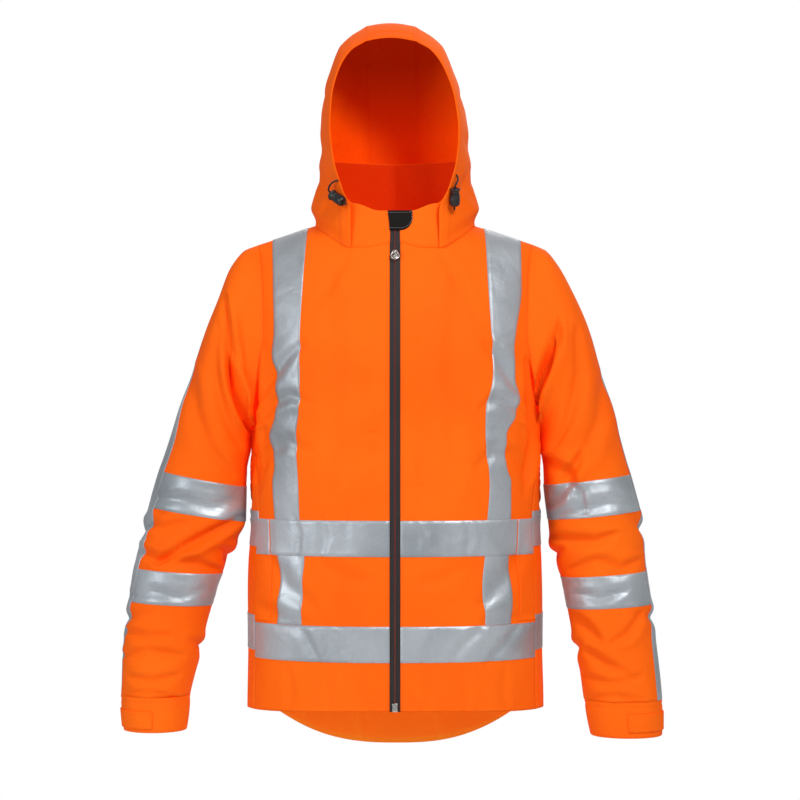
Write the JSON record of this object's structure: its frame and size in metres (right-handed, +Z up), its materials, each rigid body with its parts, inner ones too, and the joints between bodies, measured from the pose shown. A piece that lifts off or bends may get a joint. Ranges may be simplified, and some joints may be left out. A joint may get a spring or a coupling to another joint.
{
  "type": "hi-vis work jacket",
  "caption": "High-visibility work jacket in its worn, hollow form, with a stand collar, a fixed three-panel hood, a front zip and retro-reflective tape round the body and sleeves.",
  "frame": {"origin": "on the middle plane, at the height of the neck points and above the shoulders' line, where the wearer's shoulders carry the jacket", "axes": "+X to the wearer's left, +Y to the back, +Z up"},
  "size_m": [0.7778, 0.2651, 1.0618],
  "materials": {
    "shell_fabric": "matt fluorescent orange woven shell",
    "reflective_tape": "smooth silver-grey retro-reflective tape",
    "zip_black": "black water-repellent zip and trim",
    "drawcord_black": "black round elastic cord",
    "lock_plastic": "black moulded plastic",
    "zip_metal": "nickel-finished metal"
  },
  "bodies": {
    "jacket": {"front_right": "shell_fabric", "brace_front_right": "reflective_tape", "band_upper_front_right": "reflective_tape", "band_lower_front_right": "reflective_tape", "pocket_welt_right": "shell_fabric", "welt_tape_right": "reflective_tape", "sleeve_right": "shell_fabric", "sleeve_band_upper_right": "reflective_tape", "sleeve_band_lower_right": "reflective_tape", "sleeve_strip_right": "reflective_tape", "cuff_right": "shell_fabric", "cuff_tab_right": "shell_fabric", "front_left": "shell_fabric", "brace_front_left": "reflective_tape", "band_upper_front_left": "reflective_tape", "band_lower_front_left": "reflective_tape", "pocket_welt_left": "shell_fabric", "welt_tape_left": "reflective_tape", "sleeve_left": "shell_fabric", "sleeve_band_upper_left": "reflective_tape", "sleeve_band_lower_left": "reflective_tape", "sleeve_strip_left": "reflective_tape", "cuff_left": "shell_fabric", "cuff_tab_left": "shell_fabric", "back": "shell_fabric", "brace_back_right": "reflective_tape", "brace_back_left": "reflective_tape", "band_upper_back": "reflective_tape", "band_lower_back": "reflective_tape", "collar_front_right": "shell_fabric", "collar_front_left": "shell_fabric", "collar_back": "shell_fabric", "hood_side_right": "shell_fabric", "hood_side_left": "shell_fabric", "hood_centre": "shell_fabric", "zip_right": "zip_black", "zip_left": "zip_black", "chin_guard": "zip_black", "zip_slider": "zip_metal", "zip_box": "zip_metal", "cord_button_right": "lock_plastic", "cord_lock_right": "lock_plastic", "drawcord_right": "drawcord_black", "cord_button_left": "lock_plastic", "cord_lock_left": "lock_plastic", "drawcord_left": "drawcord_black"},
    "pull": {"zip_pull": "zip_metal"}
  },
  "joints": [
    {"name": "pull_swing", "type": "hinge", "parent": "jacket", "child": "pull", "pos_m": [0, -0.09887, -0.05014], "axis": [-1, 0, 0], "range_deg": [0, 150]}
  ]
}
